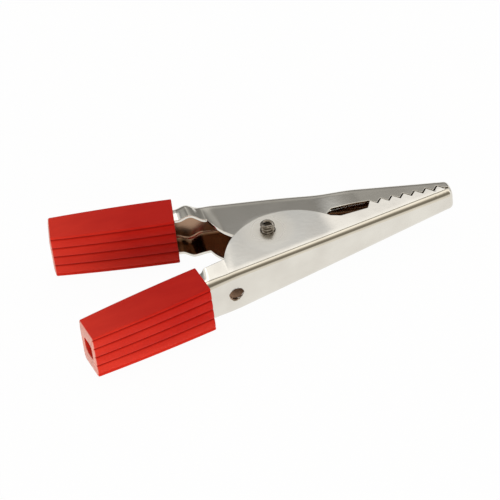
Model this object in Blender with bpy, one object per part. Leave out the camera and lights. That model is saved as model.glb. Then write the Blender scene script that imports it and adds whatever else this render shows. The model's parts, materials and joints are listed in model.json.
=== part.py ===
"""A sprung test clip: two toothed jaws of bent sheet steel, a torsion spring whose coil is their pivot,
and a plastic grip sleeve pushed on each tail.

The clip lies on its side. X runs along it with the teeth at +X, Y is the way the jaws open, and Z is
parallel to the pivot. The pivot stands at x = 0 and the bite line at y = 0 until the last step, which sets
the middle of the clip's footprint on the origin. Both jaws share one outline. It is written with heights
measured from the bite line towards the jaw's own spine, so the lower jaw is the same shape turned over.
"""

import math

import bmesh
import bpy
import numpy as np

MM = 0.001

# Sheet of the jaws, and the channel that it is bent into
SHEET = 0.45 * MM
SPINE_AT_PIVOT = 6.5 * MM
SPINE_AT_TIP = 1.11 * MM
UPPER_SPINE_RISE = 0.3 * MM
HALF_WIDTH_AT_PIVOT = 2.9 * MM
HALF_WIDTH_AT_TIP = 1.55 * MM
DRAFT = 0.045
BEND_AT_PIVOT = 1.1 * MM
BEND_AT_TIP = 0.68 * MM
TIP_AHEAD = 25.7 * MM
NOSE_ROUND = 0.6 * MM

# Ears round the pivot, and where the upper jaw steps in to nest between the lower jaw's
PIVOT_DROP = 0.7 * MM
EAR_RADIUS = 9.45 * MM
EAR_CENTRE_AHEAD = 1.9 * MM
EAR_REACH = 2.2 * MM
EAR_FRONT_ANGLE = math.radians(46)
EAR_BACK_ANGLE = math.radians(72.2)
NEST_GAP_BACK = 0.3 * MM
NEST_GAP_FRONT = 0.16 * MM
STEP_OVERLAP = 0.86 * MM
STEP_LENGTH = 4.7 * MM

# Window behind the teeth, and the teeth
WINDOW_DEPTH = 1.15 * MM
WINDOW_BACK_RUN_LOWER = 1.3 * MM
WINDOW_BACK_RUN_UPPER = 0.6 * MM
WINDOW_RISE_LOWER = 0.35 * MM
WINDOW_RISE_UPPER = 0.55 * MM
WINDOW_WALL_RUN = 0.64 * MM
TOOTH_PITCH = 1.58 * MM
TOOTH_HEIGHT = 0.76 * MM
TOOTH_STEEP_RUN = 0.66 * MM
FIRST_CREST = 14.5 * MM
TIP_LAND = 1.5 * MM
BITE_GAP = 0.22 * MM
BITE_SHIFT = 0.09 * MM

# Tails, behind the pivot: a pinched neck, a round swell, and a straight shank inside the sleeve
SHOULDER_BACK = 5.3 * MM
NECK_BACK = 7.3 * MM
NECK_HALF_LOWER = 3.2 * MM
NECK_HALF_UPPER = 2.75 * MM
NECK_LIP_LOWER = 3.4 * MM
NECK_LIP_UPPER = 3.1 * MM
NECK_DEPTH_LOWER = 3.6 * MM
NECK_DEPTH_UPPER = 3.65 * MM
SWELL_BACK_LOWER = 9.9 * MM
SWELL_BACK_UPPER = 9.2 * MM
SWELL_HALF_LOWER = 3.26 * MM
SWELL_HALF_UPPER = 3.75 * MM
SWELL_LIP_LOWER = 3.5 * MM
SWELL_LIP_UPPER = 3.65 * MM
SWELL_BEND_LOWER = 1.3 * MM
SWELL_BEND_UPPER = 1.9 * MM
SWELL_DEPTH_LOWER = 3.45 * MM
SWELL_DEPTH_UPPER = 3.2 * MM
MOUTH_BACK = 10.75 * MM
SHANK_HALF = 3.22 * MM
SHANK_DEPTH = 3.1 * MM
LOWER_SHANK_ANGLE = math.radians(10.3)
UPPER_SHANK_ANGLE = math.radians(9.8)
LIP_TUCK = 0.1 * MM
SHANK_LENGTH = 6.8 * MM
SHANK_NARROWING = 0.4 * MM
SHANK_SHALLOWING = 0.6 * MM

# Hole in the lower spine
LEAD_HOLE = 1.95 * MM
LEAD_HOLE_BACK = 6.65 * MM

# Torsion spring
WIRE = 0.5 * MM
COIL_OUTER = 1.94 * MM
COIL_GAP = 0.06 * MM
COIL_CLEARANCE = 0.1 * MM
COIL_PROUD = 1.41 * MM
MIDDLE_TURNS = 1.25
HAIRPIN_REACH = 0.45 * MM
UPPER_LEG_ANGLE = math.radians(133)
SPRING_SEAT = 0.1 * MM

# Grip sleeves. Rooms are what the shank leaves free inside the mouth.
SLEEVE_LENGTH = 16.8 * MM
LOWER_SLEEVE_REACH = 0.3 * MM
SLEEVE_SIDE_ROOM = 0.1 * MM
SLEEVE_DEPTH_ROOM = 0.4 * MM
SLEEVE_BACK_ROOM_LOWER = 0.26 * MM
SLEEVE_BACK_ROOM_UPPER = 0.1 * MM
SLEEVE_WALL = 0.45 * MM
SLEEVE_NARROWING = 0.5 * MM
SLEEVE_SHALLOWING = 0.55 * MM
SLEEVE_CORNER = 0.22 * MM
SLEEVE_BELLY = 0.15 * MM
SLEEVE_END_WALL = 4.0 * MM
CAVITY_CORNER = 0.5 * MM
RIB_COUNT = 4
RIB_HEIGHT = 0.26 * MM
RIB_CROWN = 0.2
RIB_GROOVE = 0.44 * MM
LEAD_SLOT_WIDTH = 2.75 * MM
LEAD_SLOT_DEPTH = 2.7 * MM
LEAD_SLOT_CORNER = 0.95 * MM

# How far a cutter runs past what it cuts, the least spacing of two sections, and the nose's fineness
CUTTER_OVERRUN = 1.0 * MM
SECTION_SPACING = 0.1 * MM
NOSE_STEPS = 4

SPINE_SLOPE = (SPINE_AT_PIVOT - SPINE_AT_TIP) / TIP_AHEAD
SIDE_TAPER = (HALF_WIDTH_AT_PIVOT - HALF_WIDTH_AT_TIP) / TIP_AHEAD
EAR_CENTRE_HEIGHT = EAR_RADIUS - EAR_REACH
EAR_FRONT = EAR_CENTRE_AHEAD + EAR_RADIUS * math.sin(EAR_FRONT_ANGLE)
EAR_BACK = EAR_RADIUS * math.sin(EAR_BACK_ANGLE) - EAR_CENTRE_AHEAD
NEST_END = EAR_CENTRE_AHEAD + math.sqrt(EAR_RADIUS**2 - EAR_CENTRE_HEIGHT**2)
STEP_START = NEST_END - STEP_OVERLAP
STEP_END = STEP_START + STEP_LENGTH
TOOTH_COUNT = 1 + int((TIP_AHEAD - TIP_LAND - FIRST_CREST) / TOOTH_PITCH)
TAIL_BACK = MOUTH_BACK + SHANK_LENGTH
COIL_PITCH = WIRE + COIL_GAP

LOWER, UPPER = -1, 1


def ease(x, start, end):
    """0 before start and 1 after end, with a smooth S between them."""
    share = min(1.0, max(0.0, (x - start) / (end - start)))
    return share * share * (3 - 2 * share)


def along(x, *stations):
    """The value at x of a curve that eases from one (x, value) station to the next."""
    value = stations[0][1]
    for (x0, _), (x1, after) in zip(stations, stations[1:]):
        value += (after - value) * ease(x, x0, x1)
    return value


def spine_height(x, jaw):
    """The spine's outer face, from the bite line: one straight run, and a flatter one inside the sleeve."""
    kink = -MOUTH_BACK
    rise = UPPER_SPINE_RISE * ease(x, kink, 0) if jaw == UPPER else 0
    shank = max(0.0, kink - x) * math.tan(shank_angle(jaw))
    return SPINE_AT_PIVOT + rise - max(x, kink) * SPINE_SLOPE + shank - nose_turn(x)


def nose_turn(x):
    """How far flanks and spine have come in at x, a quarter round before the nose's front wall."""
    share = min(1.0, max(0.0, (x - TIP_AHEAD + NOSE_ROUND) / NOSE_ROUND))
    return NOSE_ROUND * (1 - math.sqrt(1 - share * share))


def shank_angle(jaw):
    return UPPER_SHANK_ANGLE if jaw == UPPER else LOWER_SHANK_ANGLE


def ear_side(x, half, bend):
    """Half width of the lower jaw's outer face level with the pivot."""
    return half + DRAFT * (spine_height(x, LOWER) - PIVOT_DROP - bend)


def side_section(x, jaw):
    """Half width at the spine, bend radius and half width at the free edge of the channel at x."""
    depth = spine_height(x, jaw) - edge_height(x, jaw)
    half = HALF_WIDTH_AT_PIVOT - SIDE_TAPER * x
    bend = BEND_AT_PIVOT + (BEND_AT_TIP - BEND_AT_PIVOT) * ease(x, 0, TIP_AHEAD)
    # The upper jaw's sides are upright where they nest between the lower jaw's, and flare ahead of there.
    nested = 1 - ease(x, STEP_START, STEP_END) if jaw == UPPER else 0
    gap = NEST_GAP_BACK + (NEST_GAP_FRONT - NEST_GAP_BACK) * ease(x, -EAR_BACK, STEP_START)
    half += nested * (ear_side(x, half, bend) - SHEET - gap - half)
    lip = half + (1 - nested) * DRAFT * (depth - bend)
    if x < -SHOULDER_BACK:
        swell_half, swell_lip, swell_bend, neck_half, neck_lip = tail_form(jaw)
        stations = (-TAIL_BACK, -MOUTH_BACK, -swell_back(jaw), -NECK_BACK, -SHOULDER_BACK)
        tail = SHANK_HALF - SHANK_NARROWING
        halves = (tail, SHANK_HALF, swell_half, neck_half, half)
        lips = (tail - LIP_TUCK, SHANK_HALF - LIP_TUCK, swell_lip, neck_lip, lip)
        half = along(x, *zip(stations, halves))
        lip = along(x, *zip(stations, lips))
        bend = along(x, *zip(stations, (bend, swell_bend, swell_bend, bend, bend)))
    return half - nose_turn(x), bend - nose_turn(x), lip - nose_turn(x)


def tail_form(jaw):
    """Half width, lip and bend of a tail's swell, and half width and lip of its neck."""
    if jaw == UPPER:
        return SWELL_HALF_UPPER, SWELL_LIP_UPPER, SWELL_BEND_UPPER, NECK_HALF_UPPER, NECK_LIP_UPPER
    return SWELL_HALF_LOWER, SWELL_LIP_LOWER, SWELL_BEND_LOWER, NECK_HALF_LOWER, NECK_LIP_LOWER


def swell_back(jaw):
    return SWELL_BACK_UPPER if jaw == UPPER else SWELL_BACK_LOWER


def tail_edge(x, jaw):
    """Height of the free edge behind the ears."""
    stations = (-TAIL_BACK, -MOUTH_BACK, -swell_back(jaw), -NECK_BACK)
    swell = SWELL_DEPTH_UPPER if jaw == UPPER else SWELL_DEPTH_LOWER
    neck = NECK_DEPTH_UPPER if jaw == UPPER else NECK_DEPTH_LOWER
    depths = (SHANK_DEPTH - SHANK_SHALLOWING, SHANK_DEPTH, swell, neck)
    return spine_height(x, jaw) - along(x, *zip(stations, depths))


def ear_edge(x):
    """Height of the ear's rim, an arc that crosses the bite line."""
    return EAR_CENTRE_HEIGHT - math.sqrt(EAR_RADIUS**2 - (x - EAR_CENTRE_AHEAD) ** 2)


def outline(jaw):
    """(x, height) along a jaw's free edge, from the end of its tail to its nose."""
    points = [(x, tail_edge(x, jaw)) for x in np.linspace(-TAIL_BACK, -MOUTH_BACK, 4)]
    points += [(x, tail_edge(x, jaw)) for x in np.linspace(-MOUTH_BACK, -EAR_BACK, 9)[1:-1]]
    for angle in np.linspace(-EAR_BACK_ANGLE, EAR_FRONT_ANGLE, 17):
        x = EAR_CENTRE_AHEAD + EAR_RADIUS * math.sin(angle)
        points.append((x, ear_edge(x)))
    back_run = WINDOW_BACK_RUN_UPPER if jaw == UPPER else WINDOW_BACK_RUN_LOWER
    rise = WINDOW_RISE_UPPER if jaw == UPPER else WINDOW_RISE_LOWER
    points.append((EAR_FRONT + back_run, max(WINDOW_DEPTH, ear_edge(EAR_FRONT))))
    points.append((FIRST_CREST - WINDOW_WALL_RUN, WINDOW_DEPTH - rise))
    # The upper jaw's teeth fill the lower jaw's gaps: the same teeth turned over, shifted, and a gap away.
    shift, gap, side = (BITE_SHIFT, BITE_GAP, -1) if jaw == UPPER else (0, 0, 1)
    half_tooth = TOOTH_HEIGHT / 2
    for tooth in range(TOOTH_COUNT):
        crest = FIRST_CREST + tooth * TOOTH_PITCH - shift
        if tooth:
            points.append((crest - TOOTH_STEEP_RUN, gap + side * half_tooth))
        points.append((crest, gap - side * half_tooth))
    valley = min(crest + TOOTH_PITCH - TOOTH_STEEP_RUN, TIP_AHEAD - NOSE_ROUND - SECTION_SPACING)
    points.append((valley, gap + side * half_tooth))
    for turn in np.linspace(0, math.pi / 2, NOSE_STEPS + 1):
        points.append((TIP_AHEAD - NOSE_ROUND * (1 - math.sin(turn)), gap + side * half_tooth))
    return points


def edge_height(x, jaw):
    xs, heights = zip(*outline(jaw))
    return float(np.interp(x, xs, heights))


def section(x, jaw, bend_steps=4):
    """Outer face of the channel at x as (height, z), from the +Z free edge round the spine to the -Z one."""
    half, bend, lip = side_section(x, jaw)
    spine = spine_height(x, jaw)
    side = [(edge_height(x, jaw), lip)]
    for step in range(bend_steps + 1):
        turn = 0.5 * math.pi * step / bend_steps
        side.append((spine - bend * (1 - math.sin(turn)), half - bend * (1 - math.cos(turn))))
    return side + [(height, -z) for height, z in reversed(side)]


def mesh_object(name, vertices, faces, parent, material=None):
    mesh = bpy.data.meshes.new(name)
    mesh.from_pydata([tuple(map(float, v)) for v in vertices], [], faces)
    if material:
        mesh.materials.append(material)
    obj = bpy.data.objects.new(name, mesh)
    bpy.context.collection.objects.link(obj)
    obj.parent = parent
    return obj


def strip_faces(rows, columns, flip):
    """Quads between neighbouring rows of a grid."""
    faces = []
    for row in range(rows - 1):
        for column in range(columns - 1):
            a = row * columns + column
            face = (a, a + columns, a + columns + 1, a + 1)
            faces.append(face[::-1] if flip else face)
    return faces


def front_wall(points, columns, flip):
    """Quads across the last row of a grid, each between two points of the +Z side and their mirror images."""
    first = points - columns
    faces = []
    for low in range(first, first + columns // 2 - 1):
        mirror = 2 * first + columns - 1 - low
        face = (low, mirror, mirror - 1, low + 1)
        faces.append(face[::-1] if flip else face)
    return faces


def helper(obj):
    obj.hide_render = True
    obj.display_type = "WIRE"
    return obj


def cut(obj, cutter, name):
    boolean = obj.modifiers.new(name, "BOOLEAN")
    boolean.operation = "DIFFERENCE"
    boolean.solver = "EXACT"
    boolean.object = helper(cutter)


def cylinder(name, radius, length, parent, location, tilt=(0, 0, 0), sides=24):
    body = bmesh.new()
    bmesh.ops.create_cone(
        body, cap_ends=True, segments=sides, radius1=radius, radius2=radius, depth=length
    )
    mesh = bpy.data.meshes.new(name)
    body.to_mesh(mesh)
    body.free()
    obj = bpy.data.objects.new(name, mesh)
    bpy.context.collection.objects.link(obj)
    obj.parent = parent
    obj.location = location
    obj.rotation_euler = tilt
    return obj


def sections_along(jaw):
    """The x of every outline point, and of each turn of the form that has no outline point beside it."""
    points = [x for x, _ in outline(jaw)]
    turns = (-swell_back(jaw), -NECK_BACK, -SHOULDER_BACK, STEP_START, STEP_END)
    points += [turn for turn in turns if min(abs(turn - x) for x in points) > SECTION_SPACING]
    return sorted(points)


def make_jaw(name, jaw, parent, material):
    """One jaw: sections lofted along the outline, thickened inwards, with the pivot holes through its ears."""
    stations = sections_along(jaw)
    rows = [section(x, jaw) for x in stations]
    # The parent stands on the pivot, below the bite line.
    points = [(x, jaw * height + PIVOT_DROP, z) for x, row in zip(stations, rows) for height, z in row]
    faces = strip_faces(len(rows), len(rows[0]), jaw == LOWER)
    faces += front_wall(len(points), len(rows[0]), jaw == LOWER)
    obj = mesh_object(name, points, faces, parent, material)
    wall = obj.modifiers.new("sheet", "SOLIDIFY")
    wall.thickness = SHEET
    wall.offset = -1
    wall.use_even_offset = True
    wall.use_quality_normals = True
    hole = COIL_OUTER / 2 + COIL_CLEARANCE
    length = 2 * (pivot_half_width() + CUTTER_OVERRUN)
    cut(obj, cylinder(f"{name}_pivot_cutter", hole, length, parent, (0, 0, 0)), "pivot holes")
    return obj


def pivot_half_width():
    """Half the lower jaw's width over its ears, at the pivot."""
    return ear_side(0, HALF_WIDTH_AT_PIVOT, BEND_AT_PIVOT)


def cut_lead_hole(obj, parent):
    """A round hole through the lower spine, square to it."""
    x = -LEAD_HOLE_BACK
    place = (x, PIVOT_DROP - spine_height(x, LOWER), 0)
    tilt = (math.pi / 2, 0, math.atan(SPINE_SLOPE))
    length = 2 * (SHEET + CUTTER_OVERRUN)
    cut(obj, cylinder("lead_hole_cutter", LEAD_HOLE / 2, length, parent, place, tilt, 20), "lead hole")


def coil_point(radius, angle, z):
    return np.array([radius * math.cos(angle), radius * math.sin(angle), z])


def helix(radius, start_angle, turns, start_z, hand, steps=12):
    """Points down a coil from start_z, a pitch a turn; hand is 1 anticlockwise seen from +Z."""
    count = max(2, round(steps * turns))
    share = np.linspace(0, turns, count + 1)
    return [
        coil_point(radius, start_angle + hand * 2 * math.pi * turn, start_z - COIL_PITCH * turn)
        for turn in share
    ]


def hairpin(start, heading, reach, steps=6):
    """A leg out from start, a half loop down and back to below start, without its two ends on the coil."""
    out = np.array([math.cos(heading), math.sin(heading), 0.0])
    down = np.array([0.0, 0.0, -1.0])
    centre = start + out * reach + down * HAIRPIN_REACH
    return [
        centre + HAIRPIN_REACH * (out * math.sin(turn) - down * math.cos(turn))
        for turn in np.linspace(0, math.pi, steps + 1)
    ]


def leg_reach(start, heading, jaw):
    """How far a leg can run from start before its end seats on the inside of a jaw's spine."""
    seat = SHEET * math.hypot(1, SPINE_SLOPE) + WIRE / 2 + SPRING_SEAT
    height = jaw * (start[1] - PIVOT_DROP)
    gain = jaw * math.sin(heading)
    room = spine_height(0, jaw) - SPINE_SLOPE * start[0] - seat - height
    return room / (gain + SPINE_SLOPE * math.cos(heading)) - HAIRPIN_REACH


def spring_path():
    """Down the outer turns, out and back along the upper leg, round the middle turns the other way, out
    and back along the lower leg, and down the outer turns again."""
    radius = (COIL_OUTER - WIRE) / 2
    quarter = math.pi / 2
    upper_angle = UPPER_LEG_ANGLE - quarter
    middle_z = MIDDLE_TURNS * COIL_PITCH / 2
    outer_z = middle_z + 2 * HAIRPIN_REACH
    end_z = pivot_half_width() + COIL_PROUD - WIRE / 2
    turns = (end_z - outer_z) / COIL_PITCH
    lower_angle = upper_angle - 2 * math.pi * MIDDLE_TURNS
    lower_heading = lower_angle - quarter
    top = helix(radius, upper_angle - 2 * math.pi * turns, turns, end_z, 1)
    start = top[-1]
    upper = hairpin(start, UPPER_LEG_ANGLE, leg_reach(start, UPPER_LEG_ANGLE, UPPER))
    middle = helix(radius, upper_angle, MIDDLE_TURNS, middle_z, -1)
    start = middle[-1]
    lower = hairpin(start, lower_heading, leg_reach(start, lower_heading, LOWER))
    bottom = helix(radius, lower_angle, turns, -outer_z, 1)
    return top + upper + middle + lower + bottom


def make_spring(parent, material):
    """The wire as a curve with a round bevel; its coil stands on the pivot."""
    points = spring_path()
    curve = bpy.data.curves.new("torsion_spring", "CURVE")
    curve.dimensions = "3D"
    curve.twist_mode = "MINIMUM"
    spline = curve.splines.new("POLY")
    spline.points.add(len(points) - 1)
    for point, place in zip(spline.points, points):
        point.co = (*place, 1)
    curve.bevel_depth = WIRE / 2
    curve.bevel_resolution = 2
    curve.use_fill_caps = True
    curve.materials.append(material)
    obj = bpy.data.objects.new("torsion_spring", curve)
    bpy.context.collection.objects.link(obj)
    obj.parent = parent
    return obj


def ribbed_face(half_width, side_steps=3):
    """(z, lift) across a broad face: crowned ribs with a groove on each side, from +Z to -Z."""
    edge = half_width - SLEEVE_CORNER
    pitch = (2 * edge - RIB_GROOVE) / RIB_COUNT
    points = [(edge, (1 - RIB_CROWN) * RIB_HEIGHT)]
    for rib in range(RIB_COUNT):
        groove = edge - RIB_GROOVE / 2 - rib * pitch
        points.append((groove, 0.0))
        for step in range(side_steps):
            share = step / (side_steps - 1)
            z = groove - RIB_GROOVE / 2 - share * (pitch - RIB_GROOVE)
            points.append((z, RIB_HEIGHT * (1 - RIB_CROWN + 4 * RIB_CROWN * share * (1 - share))))
    return points + [(RIB_GROOVE / 2 - edge, 0.0), (-edge, points[0][1])]


def sleeve_half(share):
    """Half of a sleeve's outer width, share of the way from its mouth."""
    return SHANK_HALF + SLEEVE_SIDE_ROOM + SLEEVE_WALL - share * SLEEVE_NARROWING / 2


def cavity_depth(share):
    """Depth of the hollow, share of the way from the mouth."""
    return SHANK_DEPTH + SLEEVE_DEPTH_ROOM - share * SLEEVE_SHALLOWING


def sleeve_section(share):
    """(depth, z) round a sleeve, share of the way from its mouth; depth 0 is its outer broad face."""
    half = sleeve_half(share)
    depth = cavity_depth(share) + 2 * (SLEEVE_WALL + RIB_HEIGHT)
    belly = SLEEVE_BELLY * 4 * share * (1 - share)
    face = ribbed_face(half)
    outer = [(belly + lift - RIB_HEIGHT, z) for z, lift in face]
    inner = [(RIB_HEIGHT - depth - belly - lift, z) for z, lift in reversed(face)]
    # Each corner is a quarter round: its middle point lies between the ribbed face and the flat side.
    rim = SLEEVE_CORNER
    middle = rim * (1 - math.sqrt(0.5))
    low, high = belly - RIB_CROWN * RIB_HEIGHT, RIB_CROWN * RIB_HEIGHT - depth - belly
    bottom = [(low - middle, middle - half), (low - rim, -half)]
    bottom += [(high + rim, -half), (high + middle, middle - half)]
    top = [(d, -z) for d, z in reversed(bottom)]
    return outer + bottom + inner + top


def loft(name, rings, parent, material=None):
    """A closed solid through rings of equally many points, capped at both ends."""
    count = len(rings[0])
    points = [point for ring in rings for point in ring]
    faces = []
    for ring in range(len(rings) - 1):
        for i in range(count):
            j = (i + 1) % count
            a, b = ring * count + i, ring * count + j
            faces.append((a, b, b + count, a + count))
    faces.append(tuple(reversed(range(count))))
    last = (len(rings) - 1) * count
    faces.append(tuple(range(last, last + count)))
    obj = mesh_object(name, points, faces, parent, material)
    body = bmesh.new()
    body.from_mesh(obj.data)
    bmesh.ops.recalc_face_normals(body, faces=body.faces)
    body.to_mesh(obj.data)
    body.free()
    return obj


def rounded_slot(half_depth, half_width, corner, steps=3):
    """(depth, z) round a rounded rectangle about its own middle."""
    points = []
    for quarter, (a, b) in enumerate(((1, 1), (-1, 1), (-1, -1), (1, -1))):
        for step in range(steps + 1):
            turn = 0.5 * math.pi * (quarter + step / steps)
            points.append((
                a * (half_depth - corner) + corner * math.cos(turn),
                b * (half_width - corner) + corner * math.sin(turn),
            ))
    return points


def make_sleeve(name, jaw, parent, material):
    """A tapered, ribbed sleeve, hollow from its mouth, with a slot for the lead through its rear wall."""
    seat = empty(f"{name}_seat", parent)
    # The seat's X runs back along the tail, and its Y points to the other jaw on one side, away on the other.
    mouth_height = spine_height(-MOUTH_BACK, jaw)
    seat.location = (-MOUTH_BACK, jaw * mouth_height + PIVOT_DROP, 0)
    seat.rotation_euler = (0, 0, math.pi - jaw * shank_angle(jaw))
    outward = -jaw
    back_room = SLEEVE_BACK_ROOM_UPPER if jaw == UPPER else SLEEVE_BACK_ROOM_LOWER
    reach = 0 if jaw == UPPER else LOWER_SLEEVE_REACH
    face = back_room + SLEEVE_WALL + RIB_HEIGHT
    rings = []
    for share in np.linspace(0, 1, 6):
        x = share * (SLEEVE_LENGTH + reach) - reach
        rings.append([(x, outward * (face + depth), z) for depth, z in sleeve_section(share)])
    obj = loft(name, rings, seat, material)
    cavity_length = SLEEVE_LENGTH - SLEEVE_END_WALL
    rings = []
    for x in (-CUTTER_OVERRUN, cavity_length):
        share = x / SLEEVE_LENGTH
        depth = cavity_depth(share)
        hollow = rounded_slot(depth / 2, sleeve_half(share) - SLEEVE_WALL, CAVITY_CORNER)
        rings.append([(x, outward * (back_room - depth / 2 + d), z) for d, z in hollow])
    cut(obj, loft(f"{name}_cavity_cutter", rings, seat), "cavity")
    middle = back_room - cavity_depth(1) / 2
    slot = rounded_slot(LEAD_SLOT_DEPTH / 2, LEAD_SLOT_WIDTH / 2, LEAD_SLOT_CORNER)
    rings = [
        [(x, outward * (middle + d), z) for d, z in slot]
        for x in (cavity_length - CUTTER_OVERRUN / 2, SLEEVE_LENGTH + CUTTER_OVERRUN)
    ]
    cut(obj, loft(f"{name}_lead_cutter", rings, seat), "lead slot")
    return obj


def make_material(name, colour, roughness, metallic):
    material = bpy.data.materials.new(name)
    material.use_nodes = True
    shader = material.node_tree.nodes["Principled BSDF"]
    shader.inputs["Base Color"].default_value = (*colour, 1)
    shader.inputs["Roughness"].default_value = roughness
    shader.inputs["Metallic"].default_value = metallic
    return material


def empty(name, parent=None):
    obj = bpy.data.objects.new(name, None)
    bpy.context.collection.objects.link(obj)
    obj.parent = parent
    return obj


def centre_on_ground(root, pieces):
    """Moves the root so that the pieces' box stands on z = 0 with its middle over the origin."""
    bpy.context.view_layer.update()
    graph = bpy.context.evaluated_depsgraph_get()
    corners = []
    for piece in pieces:
        shape = piece.evaluated_get(graph)
        mesh = shape.to_mesh()
        local = np.empty(len(mesh.vertices) * 3, np.float32)
        mesh.vertices.foreach_get("co", local)
        world = np.array(shape.matrix_world)
        shape.to_mesh_clear()
        placed = local.reshape(-1, 3) @ world[:3, :3].T + world[:3, 3]
        corners += [placed.min(axis=0), placed.max(axis=0)]
    low, high = np.min(corners, axis=0), np.max(corners, axis=0)
    root.location = (-(low[0] + high[0]) / 2, -(low[1] + high[1]) / 2, -low[2])


def main():
    for obj in list(bpy.data.objects):
        bpy.data.objects.remove(obj, do_unlink=True)
    steel = make_material("nickel_plated_steel", (0.56, 0.54, 0.50), 0.22, 1.0)
    wire = make_material("spring_steel", (0.50, 0.49, 0.46), 0.25, 1.0)
    plastic = make_material("red_plastic", (0.52, 0.03, 0.02), 0.42, 0.0)
    pivot = empty("pivot")
    upper_pivot = empty("upper_pivot", pivot)
    pieces = [
        make_jaw("lower_jaw", LOWER, pivot, steel),
        make_jaw("upper_jaw", UPPER, upper_pivot, steel),
        make_spring(pivot, wire),
        make_sleeve("lower_sleeve", LOWER, pivot, plastic),
        make_sleeve("upper_sleeve", UPPER, upper_pivot, plastic),
    ]
    cut_lead_hole(pieces[0], pivot)
    centre_on_ground(pivot, pieces)


main()
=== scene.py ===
"""Looks of a sprung test clip: nickel-plated jaws of bent sheet steel, the torsion spring that is their
pivot, ribbed vinyl grips on their tails, and a pale studio.

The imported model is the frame. Each piece here stands for one of its nodes and keeps that node's sizes.
Jaws are worked out about the pivot, with heights from the bite line towards each jaw's own spine.
"""

import json
import math

import bpy
import numpy as np
from bpy.props import FloatProperty, FloatVectorProperty, IntProperty, PointerProperty
from mathutils import Matrix, Vector


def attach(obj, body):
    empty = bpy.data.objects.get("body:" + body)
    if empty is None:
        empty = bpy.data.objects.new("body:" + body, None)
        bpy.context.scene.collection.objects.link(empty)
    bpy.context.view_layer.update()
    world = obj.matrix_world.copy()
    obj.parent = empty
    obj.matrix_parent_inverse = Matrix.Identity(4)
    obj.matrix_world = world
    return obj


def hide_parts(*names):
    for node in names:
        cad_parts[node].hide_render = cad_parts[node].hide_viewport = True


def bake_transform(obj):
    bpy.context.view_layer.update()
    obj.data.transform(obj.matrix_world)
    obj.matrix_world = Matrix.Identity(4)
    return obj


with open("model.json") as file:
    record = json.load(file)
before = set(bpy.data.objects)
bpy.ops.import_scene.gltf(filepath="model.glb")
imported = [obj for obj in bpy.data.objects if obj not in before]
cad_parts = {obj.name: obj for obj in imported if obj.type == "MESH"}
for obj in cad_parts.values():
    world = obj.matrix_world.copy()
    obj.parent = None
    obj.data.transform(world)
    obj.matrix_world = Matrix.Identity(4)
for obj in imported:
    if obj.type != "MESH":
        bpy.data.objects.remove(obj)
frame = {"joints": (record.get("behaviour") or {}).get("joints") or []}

bl_info = {
    "name": "Test Clip Looks",
    "version": (1, 0, 0),
    "blender": (4, 5, 0),
    "location": "3D View > Sidebar > Test Clip",
    "description": "Builds the jaws, spring and grips of a sprung test clip, and a studio round it",
    "category": "Add Mesh",
}

MM = 0.001
PIVOT = np.array(frame["joints"][0]["pos_m"])
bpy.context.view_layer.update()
LOWER, UPPER = -1, 1


def mm(*values):
    """Millimetres in metres."""
    return tuple(value * MM for value in values)


# Values and properties


def srgb(code):
    """Linear RGBA of an sRGB hex code: v / 12.92 up to 0.04045, else ((v + 0.055) / 1.055) ^ 2.4."""
    value = np.array([int(code[i : i + 2], 16) for i in (1, 3, 5)]) / 255
    linear = np.where(value <= 0.04045, value / 12.92, ((value + 0.055) / 1.055) ** 2.4)
    return (*linear.tolist(), 1.0)


def length(name, description, millimetres):
    return FloatProperty(
        name=name, description=description, default=millimetres * MM, subtype="DISTANCE", unit="LENGTH",
        precision=5,
    )


def angle(name, description, degrees):
    return FloatProperty(
        name=name, description=description, default=math.radians(degrees), subtype="ANGLE", unit="ROTATION"
    )


def colour(name, description, code):
    return FloatVectorProperty(
        name=name, description=description, default=srgb(code), subtype="COLOR", size=4, min=0, max=1
    )


class JawSizes(bpy.types.PropertyGroup):
    """Sheet, channel, ears, teeth and tails of both jaws."""

    sheet: length("Sheet", "Thickness of the steel", 0.45)
    edge_round: length("Edge round", "Radius on every cut edge", 0.07)
    spine_at_pivot: length("Spine at pivot", "Bite line to spine at the pivot", 6.5)
    spine_at_tip: length("Spine at tip", "Bite line to spine at the tip", 1.33)
    upper_rise: length("Upper rise", "How much higher the upper spine stands ahead of the pivot", 0.32)
    half_at_pivot: length("Half width at pivot", "Middle to flank at the pivot", 3.0)
    half_at_tip: length("Half width at tip", "Middle to flank at the tip", 1.7)
    bend_at_pivot: length("Bend at pivot", "Outer bend radius at the pivot", 1.1)
    bend_at_tip: length("Bend at tip", "Outer bend radius at the tip", 1.25)
    tip_ahead: length("Tip", "Pivot to the end of the jaws", 25.7)
    nose_round: length("Nose round", "Radius from flanks and spine into the nose's front wall", 0.6)
    pivot_drop: length("Pivot drop", "Bite line to pivot", 0.7)
    ear_radius: length("Ear radius", "Radius of the rim of each ear", 9.45)
    ear_centre: length("Ear centre", "Centre of the ear's rim ahead of the pivot", 1.9)
    ear_reach: length("Ear reach", "How far the ears cross the bite line", 2.2)
    tooth_pitch: length("Tooth pitch", "Crest to crest", 1.58)
    tooth_height: length("Tooth height", "Crest to valley", 0.76)
    first_crest: length("First crest", "Pivot to the first crest", 14.5)
    lead_hole: length("Lead hole", "Diameter of the hole in the lower spine", 1.95)


class SpringSizes(bpy.types.PropertyGroup):
    """Wire and coil of the torsion spring."""

    wire: length("Wire", "Diameter of the wire", 0.5)
    coil: length("Coil", "Outer diameter of the coil", 1.94)
    gap: length("Coil gap", "Space between two turns", 0.06)
    proud: length("Proud", "How far the coil stands out of the ears", 1.31)
    leg_gap: length("Hairpin", "Radius of the loop at the end of each leg", 0.45)
    leg_angle: angle("Leg angle", "Direction of the leg that lies in the upper jaw", 115)


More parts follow.
